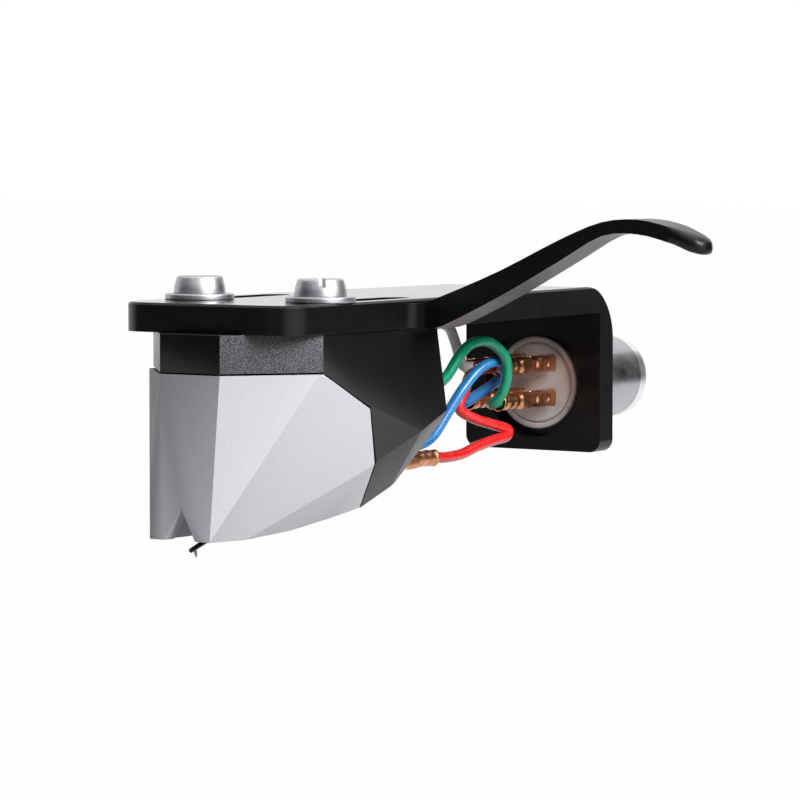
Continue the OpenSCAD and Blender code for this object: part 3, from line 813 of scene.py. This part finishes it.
@dataclass
class Connector:
    """The bayonet barrel with its insulator, contacts, key pin and gasket.

    Attributes:
        barrel_r: Outer radius of the barrel.
        neck_r: Outer radius of the thinner neck behind the wall.
        neck_len: Length of the neck.
        bore_r: Radius of the barrel's bore.
        front_y: Front end of the barrel, within the wall.
        flange_r: Radius of the insulator's flange.
        flange_t: Thickness of the flange.
        groove_r: Inner radius of the groove in the flange's face.
        groove_w: Width of the groove.
        groove_deep: Depth of the groove.
        band: Length of the band at the barrel's end that takes the painted highlight.
        gasket_w: Width of the gasket's section.
        gasket_t: Length of the gasket along the barrel.
        gasket_play: Gap between the gasket and what it lies on.
        pin_r: Radius of a contact pin.
        pin_half_gap: Half the distance between two pins.
        pin_mid_z: Height of the middle of the four pins.
        pin_front_y: Front end of the pins.
        pin_past: How far the pins stand out of the barrel's end.
        floor_in: How far the insulator's rear face is sunk into the barrel.
    """

    barrel_r: float = 4.0
    neck_r: float = 3.7
    neck_len: float = 5.2
    bore_r: float = 3.2
    front_y: float = -0.8
    flange_r: float = 4.45
    flange_t: float = 0.9
    groove_r: float = 3.75
    groove_w: float = 0.15
    groove_deep: float = 0.45
    band: float = 1.3
    gasket_w: float = 1.06
    gasket_t: float = 1.16
    gasket_play: float = 0.02
    pin_r: float = 0.5
    pin_half_gap: float = 1.65
    pin_mid_z: float = 0.3
    pin_front_y: float = -7.6
    pin_past: float = 0.4
    floor_in: float = 0.2

    def build(self) -> None:
        """Builds every piece of the connector."""
        self.barrel()
        self.insulator()
        self.contacts()
        low, high = self.gasket_play, self.gasket_play + self.gasket_t
        inner = self.neck_r + self.gasket_play
        outer = inner + self.gasket_w
        profile = rounded_profile([
            (inner, low, 0.05), (outer, low, 0.3), (outer, high, 0.4), (inner, high, 0.05),
        ])
        new_piece("barrel_gasket", "ring", lathe(profile), RUBBER_BLACK, ROOT)
        rounded_copy("key_pin", "pressed", STEEL_DRAWN, ROOT, edge_mm=0.15)

    def barrel(self) -> None:
        """Builds the turned barrel, its end drawn in by a long soft round and painted brighter as a
        highlight.
        """
        end = BARREL_LEN
        profile = rounded_profile([
            (self.bore_r, self.front_y, 0), (self.neck_r, self.front_y, 0),
            (self.neck_r, self.neck_len, 0.05), (self.barrel_r, self.neck_len, 0.15),
            (self.barrel_r, end - self.band, 0), (self.barrel_r, end, 0.35), (self.bore_r, end, 0.1),
        ])
        barrel = new_piece("connector_barrel", "turned", lathe(profile, 128), ALUMINIUM_TURNED, ROOT)
        # The end band takes a brighter copy of the aluminium: a painted highlight.
        paint(barrel, ALUMINIUM_PAINTED_HIGHLIGHT, lambda face: face.center.y > -self.band * MM)
        add_modifier(barrel, "WEIGHTED_NORMAL", keep_sharp=True)

    def insulator(self) -> None:
        """Builds the moulded insulator with its rimmed flange and the sunk floor behind it."""
        seat, end = self.front_y, BARREL_LEN - self.floor_in
        rim = seat - self.flange_t
        groove = rim + self.groove_deep
        profile = rounded_profile([
            (0, rim, 0), (self.groove_r, rim, 0.12), (self.groove_r, groove, 0.03),
            (self.groove_r + self.groove_w, groove, 0.03), (self.groove_r + self.groove_w, rim, 0.12),
            (self.flange_r, rim, 0.2), (self.flange_r, seat, 0.03),
            (self.bore_r, seat, 0), (self.bore_r, end, 0.1), (0, end, 0),
        ])
        new_piece("contact_insulator", "moulded", lathe(profile), NYLON_WHITE, ROOT)

    def contacts(self) -> None:
        """Builds the four contact pins, each with a domed rear end."""
        end = BARREL_LEN + self.pin_past
        profile = rounded_profile([
            (0, self.pin_front_y, 0), (self.pin_r, self.pin_front_y, 0.2),
            (self.pin_r, end, 0.35), (0, end, 0),
        ])
        for number, (s, t) in enumerate(((1, 1), (-1, 1), (1, -1), (-1, -1)), 1):
            centre = (s * self.pin_half_gap, self.pin_mid_z + t * self.pin_half_gap)
            pin = lathe(profile, 32, centre)
            new_piece(f"contact_pin_{number}", "domed", pin, BRASS_GOLD_PLATED, ROOT)


@dataclass
class CartridgeBody:
    """The black body with what it holds: shield, coils, pole pieces and terminals.

    Attributes:
        edge_mm: Width of the body's broken edges.
    """

    edge_mm: float = 0.14

    def build(self) -> None:
        """Builds the body and dresses its inner pieces."""
        shell = rounded_copy("body_shell", "moulded", ABS_SATIN_BLACK, ROOT, self.edge_mm, FACET_CREASE)
        # The two sandy facets beside the front take a lighter colour: a painted sheen.
        paint(shell, ABS_SPARK_PAINTED_SHEEN, self.is_painted_sheen_facet)
        rounded_copy("terminal_block", "moulded", ABS_SATIN_BLACK, ROOT, edge_mm=0.12)
        rounded_copy("magnetic_shield", "folded", STEEL_DRAWN, ROOT, edge_mm=0.05)
        for n in range(1, 5):
            rounded_copy(f"terminal_pin_{n}", "round", BRASS_GOLD_PLATED, ROOT, edge_mm=0.15)
            rounded_copy(f"coil_{n}", "wound", COPPER_WOUND, ROOT, edge_mm=0.05)
            rounded_copy(f"pole_piece_{n}", "bent", STEEL_DRAWN, ROOT, edge_mm=0.08)

    def is_painted_sheen_facet(self, face: bpy.types.MeshPolygon) -> bool:
        """Says whether a face is one of the body's two sandy facets beside its front, which take a painted
        sheen.
        """
        return -0.9 < face.normal.y < -0.45 and abs(face.normal.z) < 0.2


@dataclass
class StylusAssembly:
    """The pull-off stylus housing, its tube and the cantilever with the stylus.

    Attributes:
        edge_mm: Width of the housing's broken edges.
    """

    edge_mm: float = 0.12

    def build(self) -> None:
        """Builds the stylus assembly."""
        rounded_copy("stylus_housing", "moulded", ABS_SILVER, STYLUS, self.edge_mm, FACET_CREASE)
        rounded_copy("stylus_tube", "drawn", ALUMINIUM_DRAWN, STYLUS, edge_mm=0.04)
        rounded_copy("tube_plug", "turned", BRASS_TURNED, STYLUS, edge_mm=0.06)
        rounded_copy("damper_ring", "moulded", RUBBER_BLACK, STYLUS, edge_mm=0.04)
        rounded_copy("tie_wire", "drawn", STEEL_DRAWN, STYLUS, edge_mm=0.02)
        rounded_copy("pivot_collar", "turned", BRASS_TURNED, PIVOT, edge_mm=0.03)
        rounded_copy("cantilever", "tube", ALUMINIUM_DARK, CANTILEVER, edge_mm=0.03)
        rounded_copy("magnet", "rod", MAGNET_PLATED, CANTILEVER, edge_mm=0.06)
        rounded_copy("stylus_tip", "ground", DIAMOND_GROUND, CANTILEVER, edge_mm=0.01)


@dataclass(frozen=True)
class Station:
    """One place along a clip.

    Attributes:
        y: Distance from the clip's mouth, in mm.
        radius: Outer radius or half width there, in mm.
        gap: Half of the open gap, in degrees.
        square: 1 where the section is a rounded square, 0 where it is round.
    """

    y: float
    radius: float
    gap: float
    square: float

    def radius_at(self, turn: float) -> float:
        """Finds the outer radius in one direction.

        Args:
            turn: The direction, in radians from +X.

        Returns:
            The radius, in mm.
        """
        power = 2 + 3 * self.square
        spread = abs(math.cos(turn)) ** power + abs(math.sin(turn)) ** power
        return self.radius / spread ** (1 / power)

    def towards(self, other: "Station", k: float) -> "Station":
        """Finds the station on the way to another one, eased at both ends.

        Args:
            other: The other station.
            k: Share of the way, from 0 to 1.

        Returns:
            The station there.
        """
        ease = k * k * (3 - 2 * k)
        return Station(
            self.y + (other.y - self.y) * k,
            self.radius + (other.radius - self.radius) * ease,
            self.gap + (other.gap - self.gap) * ease,
            self.square + (other.square - self.square) * ease,
        )


# A clip from its mouth on: folded sleeve, open waist, wire crimp, beaded crimp and flared end.
CLIP_STATIONS = (
    Station(0.0, 0.86, 12, 1), Station(0.3, 0.8, 10, 1), Station(2.4, 0.8, 10, 1),
    Station(2.9, 0.74, 40, 0.8), Station(4.0, 0.74, 44, 0.8), Station(4.5, 0.8, 12, 0.8),
    Station(5.6, 0.8, 12, 0.4), Station(6.2, 0.7, 30, 0), Station(6.7, 0.76, 5, 0),
    Station(7.3, 0.7, 5, 0), Station(7.9, 0.76, 5, 0), Station(8.5, 0.7, 25, 0),
    Station(9.0, 0.84, 50, 0),
)


def smooth_stations(stations: Sequence[Station], pitch: float = 0.1) -> list[Station]:
    """Fills in eased stations between the given ones.

    Args:
        stations: The given stations.
        pitch: Distance between the filled-in ones, in mm.

    Returns:
        The stations from end to end.
    """
    filled = []
    for a, b in zip(stations, stations[1:]):
        steps = max(1, round((b.y - a.y) / pitch))
        filled += [a.towards(b, k / steps) for k in range(steps)]
    return filled + [stations[-1]]


@dataclass
class LeadHarness:
    """The four leads with a crimped clip at each end.

    Attributes:
        lead_r: Radius of a lead's insulation.
        sheet: Thickness of the clips' sheet metal.
        slit_turn: Direction of the slit of a clip on the lift's side, in degrees from +X.
        dimple_y: Places of the pressed dimples along a clip.
        dimple_r: Radius of a pressed dimple.
        dimple_deep: Depth of a pressed dimple.
        clip_sides: Faces round a clip.
        terminal_mouth_y: Mouth of the clips on the body's terminals.
        contact_mouth_y: Mouth of the clips on the contact pins.
        routes: Each lead's points, from the body's terminal to the contact pin.
    """

    lead_r: float = 0.5
    sheet: float = 0.15
    slit_turn: float = 110.0
    dimple_y: tuple[float, ...] = (1.5, 3.4)
    dimple_r: float = 0.4
    dimple_deep: float = 0.16
    clip_sides: int = 56
    terminal_mouth_y: float = -33.1
    contact_mouth_y: float = -2.2
    routes: dict[LeadColour, list[tuple[float, float, float]]] = field(default_factory=lambda: {
        LeadColour.RED: [
            (2.6, -26.7, -5.55), (2.6, -24, -5.55), (2.6, -22, -5.7), (2.5, -19, -5.6), (2.4, -16.2, -5.1),
            (2.3, -13, -4.7), (2.3, -10.9, -4.5), (2.1, -10.3, -3.9), (1.8, -12, -3.4), (0.9, -14.2, -2.7),
            (0.1, -15.6, -1.7), (0.3, -14.9, 0), (0.5, -14.4, 1.3), (1.2, -13, 1.9), (1.65, -11.7, 1.95),
            (1.65, -9, 1.95),
        ],
        LeadColour.GREEN: [
            (2.6, -26.7, 0.85), (2.6, -24, 0.85), (2.8, -22, 1.7), (2.9, -20.2, 3.3), (3, -18.4, 4.4),
            (3.3, -16.4, 4.7), (3.5, -14.6, 4.1), (3.8, -13.4, 2.9), (3.8, -13.2, 1.3), (3.3, -13.3, -0.4),
            (2.4, -13.4, -1.3), (1.65, -11.9, -1.35), (1.65, -9, -1.35),
        ],
        LeadColour.BLUE: [
            (-2.6, -26.7, -5.55), (-2.6, -23.7, -5.55), (-1.5, -22, -5.1), (0, -20.4, -4.2),
            (0.8, -18.7, -1.9), (1.5, -17.1, 0.3), (2.2, -15.2, 2.1), (2.8, -13.1, 2.6), (2.8, -12.1, 1.4),
            (1.4, -12.7, 0.1), (-0.4, -13.9, -1.3), (-1.5, -13, -1.5), (-1.65, -11.7, -1.35),
            (-1.65, -9, -1.35),
        ],
        LeadColour.WHITE: [
            (-2.6, -26.7, 0.85), (-2.6, -24, 0.85), (-2.4, -21.5, 2.6), (-2.1, -19, 4.8),
            (-1.9, -16.6, 6.1), (-1.7, -14.7, 5.8), (-1.65, -13.6, 4.4), (-1.65, -12.7, 2.7),
            (-1.65, -11.8, 1.95), (-1.65, -9, 1.95),
        ],
    })

    def build(self) -> None:
        """Builds the leads and their clips."""
        for colour, route in self.routes.items():
            word = colour.name.lower()
            tube = swept_tube(smooth_route(route), self.lead_r)
            new_piece(f"lead_{word}", "insulated", tube, colour.finish(), ROOT)
            start, end = route[0], route[-1]
            self.clip(f"body_clip_{word}", (start[0], self.terminal_mouth_y, start[2]), way=1)
            self.clip(f"shell_clip_{word}", (end[0], self.contact_mouth_y, end[2]), way=-1)

    def clip(self, node: str, mouth: tuple[float, float, float], way: int) -> None:
        """Builds one stamped clip: a folded square sleeve, an open waist and a round crimp.

        Args:
            node: The CAD node that it stands for.
            mouth: Where the pin enters, in mm.
            way: 1 if the clip runs towards +Y from its mouth, -1 if towards -Y.
        """
        around = self.clip_sides
        slit = math.radians(self.slit_turn if mouth[0] > 0 else 180 - self.slit_turn)
        bm = bmesh.new()
        outer, inner = [], []
        for station in smooth_stations(CLIP_STATIONS):
            gap = math.radians(station.gap)
            ring_out, ring_in = [], []
            for n in range(around + 1):
                turn = slit + gap + (2 * math.pi - 2 * gap) * n / around
                radius = station.radius_at(turn) - self.dimples(turn, station)
                for ring, r in ((ring_out, radius), (ring_in, radius - self.sheet)):
                    x, z = mouth[0] + r * math.cos(turn), mouth[2] + r * math.sin(turn)
                    ring.append(bm.verts.new(at(x, mouth[1] + way * station.y, z)))
            outer.append(ring_out)
            inner.append(ring_in)
        last = len(outer) - 1
        for i in range(last):
            for n in range(around):
                bm.faces.new((outer[i][n], outer[i][n + 1], outer[i + 1][n + 1], outer[i + 1][n]))
                bm.faces.new((inner[i][n], inner[i + 1][n], inner[i + 1][n + 1], inner[i][n + 1]))
            for n in (0, around):
                bm.faces.new((outer[i][n], outer[i + 1][n], inner[i + 1][n], inner[i][n]))
        for i in (0, last):
            for n in range(around):
                bm.faces.new((outer[i][n], inner[i][n], inner[i][n + 1], outer[i][n + 1]))
        piece = new_piece(node, "crimped", bm, COPPER_STAMPED, ROOT)
        add_modifier(piece, "WEIGHTED_NORMAL", keep_sharp=True)

    def dimples(self, turn: float, station: Station) -> float:
        """Returns how far the sheet is dented at a place on a clip.

        Args:
            turn: The angle round the clip, in radians from +X.
            station: The place along the clip.

        Returns:
            The depth of the dent, in mm.
        """
        depth = 0.0
        for y in self.dimple_y:
            for aim in (0.0, math.pi):
                swing = (turn - aim + math.pi) % (2 * math.pi) - math.pi
                off = math.hypot(swing * station.radius, station.y - y) / self.dimple_r
                depth += self.dimple_deep * math.exp(-(off**4))
        return depth


@dataclass
class Studio:
    """The pale floor, the soft lights, the dark cards and the camera.

    Attributes:
        camera_mm: The camera's place, in mm in the row's frame.
        azimuth: Where it looks from, in degrees.
        elevation: Its height above the horizon, in degrees.
        lens: Focal length on a 36 mm sensor.
        floor_z: Height of the floor, in metres: well below the object, as in the photograph.
        floor_size: Side of the floor, in metres.
        centre: What the lamps and the cards face, in metres.
        ambient: Strength of the plain light from all sides.
        floor_white: Share of pure white in the floor as the camera sees it, the rest is shadow.
        paper: Colour of the floor's own paper, sRGB hex.
        felt: Colour of the cards, sRGB hex.
        card_distance: Distance of the cards from the object, in metres.
    """

    camera_mm: tuple[float, float, float] = (190.2, -327.7, 22.7)
    azimuth: float = 33.31
    elevation: float = 3.81
    lens: float = 172.26
    floor_z: float = -0.09
    floor_size: float = 12.0
    centre: tuple[float, float, float] = (0.01, -0.045, 0.0)
    ambient: float = 0.06
    floor_white: float = 0.995
    paper: str = "#828282"
    felt: str = "#444448"
    card_distance: float = 0.6

    def build(self) -> None:
        """Builds the whole studio."""
        self.camera()
        self.world()
        self.floor()
        self.lamp("key", (0.85, -0.15, 0.51), distance=0.9, size=0.45, watts=10.8)
        self.lamp("top", (0.1, 0.1, 1.0), distance=0.8, size=0.7, watts=1.5)
        made = new_material("card_matt_black")
        tree = made.node_tree
        matt = add_node(tree, "ShaderNodeBsdfDiffuse", {"Color": to_linear(self.felt)})
        add_node(tree, "ShaderNodeOutputMaterial", {}, {"Surface": matt.outputs[0]})
        self.card("card_far_right", (0.62, 0.78, 0.0), size=0.7, made=made)
        self.card("card_near_left", (-0.6, -0.8, 0.0), size=0.8, made=made)
        self.card("card_near_right", (0.37, -0.93, 0.0), size=0.5, made=made)

    def camera(self) -> None:
        """Places the camera at the photograph's angle."""
        a, e = math.radians(self.azimuth), math.radians(self.elevation)
        back = Vector((math.sin(a) * math.cos(e), -math.cos(a) * math.cos(e), math.sin(e)))
        right = Vector((math.cos(a), math.sin(a), 0))
        turn = Matrix((right, back.cross(right), back)).transposed()
        data = bpy.data.cameras.new("photo_camera")
        data.lens, data.sensor_width = self.lens, 36.0
        data.clip_start, data.clip_end = 0.01, 20.0
        camera = bpy.data.objects.new("photo_camera", data)
        camera.matrix_world = Matrix.Translation(Vector(self.camera_mm) * MM) @ turn.to_4x4()
        scene = bpy.context.scene
        scene.collection.objects.link(camera)
        scene.camera = camera

    def white_share(self, tree: bpy.types.NodeTree) -> bpy.types.NodeSocket:
        """Adds the nodes that are 1 for rays from the camera, off gloss or through glass.

        Args:
            tree: The node tree that takes them.

        Returns:
            The socket that is 1 for those rays and 0 for the others.
        """
        rays = add_node(tree, "ShaderNodeLightPath").outputs
        most = {"operation": "MAXIMUM"}
        direct = {0: rays["Is Camera Ray"], 1: rays["Is Glossy Ray"]}
        some = add_node(tree, "ShaderNodeMath", most, direct).outputs[0]
        through = {0: some, 1: rays["Is Transmission Ray"]}
        return add_node(tree, "ShaderNodeMath", most, through).outputs[0]

    def world(self) -> None:
        """Sets a white background over a plain grey ambient light."""
        world = bpy.data.worlds.new("studio_world")
        bpy.context.scene.world = world
        world.use_nodes = True
        tree = world.node_tree
        tree.nodes.clear()
        share = {"Value": self.white_share(tree)}
        levels = {"To Min": self.ambient, "To Max": 1.0}
        strength = add_node(tree, "ShaderNodeMapRange", levels, share).outputs["Result"]
        light = add_node(tree, "ShaderNodeBackground", {"Color": (1, 1, 1, 1)}, {"Strength": strength})
        add_node(tree, "ShaderNodeOutputWorld", {}, {"Surface": light.outputs[0]})

    def floor(self) -> None:
        """Lays the pale floor, which keeps a faint shadow."""
        made = new_material("paper_matt_white")
        tree = made.node_tree
        paper = add_node(tree, "ShaderNodeBsdfDiffuse", {"Color": to_linear(self.paper)})
        glow = add_node(tree, "ShaderNodeEmission", {"Color": (1, 1, 1, 1), "Strength": 1.0})
        scale = {"operation": "MULTIPLY", 1: self.floor_white}
        kept = add_node(tree, "ShaderNodeMath", scale, {0: self.white_share(tree)})
        parts = {0: kept.outputs[0], 1: paper.outputs[0], 2: glow.outputs[0]}
        mix = add_node(tree, "ShaderNodeMixShader", {}, parts)
        add_node(tree, "ShaderNodeOutputMaterial", {}, {"Surface": mix.outputs[0]})
        floor = self.square("floor", self.floor_size, made)
        floor.location.z = self.floor_z

    def square(self, name: str, size: float, made: bpy.types.Material) -> bpy.types.Object:
        """Adds a flat square of one material.

        Args:
            name: The square's name.
            size: Its side, in metres.
            made: Its material.

        Returns:
            The new object.
        """
        bm = bmesh.new()
        bmesh.ops.create_grid(bm, x_segments=1, y_segments=1, size=size / 2)
        square = add_object(name, bm)
        square.data.materials.append(made)
        return square

    def aim(
        self, thing: bpy.types.Object, towards: tuple[float, float, float], distance: float
    ) -> None:
        """Puts a lamp or card at a distance from the object, and turns it to face the object.

        Args:
            thing: The lamp or card.
            towards: Direction from the object.
            distance: Distance from the object, in metres.
        """
        way = Vector(towards).normalized()
        thing.location = Vector(self.centre) + way * distance
        thing.rotation_mode = "QUATERNION"
        thing.rotation_quaternion = way.to_track_quat("Z", "Y")

    def lamp(
        self, name: str, towards: tuple[float, float, float], distance: float, size: float, watts: float
    ) -> None:
        """Hangs one soft square lamp that points at the object.

        Args:
            name: The lamp's name.
            towards: Direction from the object to the lamp.
            distance: Its distance, in metres.
            size: Side of its square, in metres.
            watts: Its power.
        """
        data = bpy.data.lights.new(name, "AREA")
        data.size, data.energy = size, watts
        lamp = bpy.data.objects.new(name, data)
        self.aim(lamp, towards, distance)
        bpy.context.scene.collection.objects.link(lamp)

    def card(
        self, name: str, towards: tuple[float, float, float], size: float, made: bpy.types.Material
    ) -> None:
        """Stands a dark card beside the object, for dark reflections, out of the camera's sight.

        Args:
            name: The card's name.
            towards: Direction from the object to the card.
            size: Side of its square, in metres.
            made: The cards' material.
        """
        card = self.square(name, size, made)
        self.aim(card, towards, self.card_distance)
        card.visible_camera = False
        card.visible_shadow = False


def main() -> None:
    """Builds the studio and every sub-assembly."""
    logging.basicConfig(level=logging.INFO, format="%(message)s")
    scene = bpy.context.scene
    scene.view_settings.view_transform = "Standard"
    for part in (Studio(), Headshell(), Connector(), CartridgeBody(), StylusAssembly(), LeadHarness()):
        part.build()
        log.info("%s built", type(part).__name__)


if __name__ == "__main__":
    main()
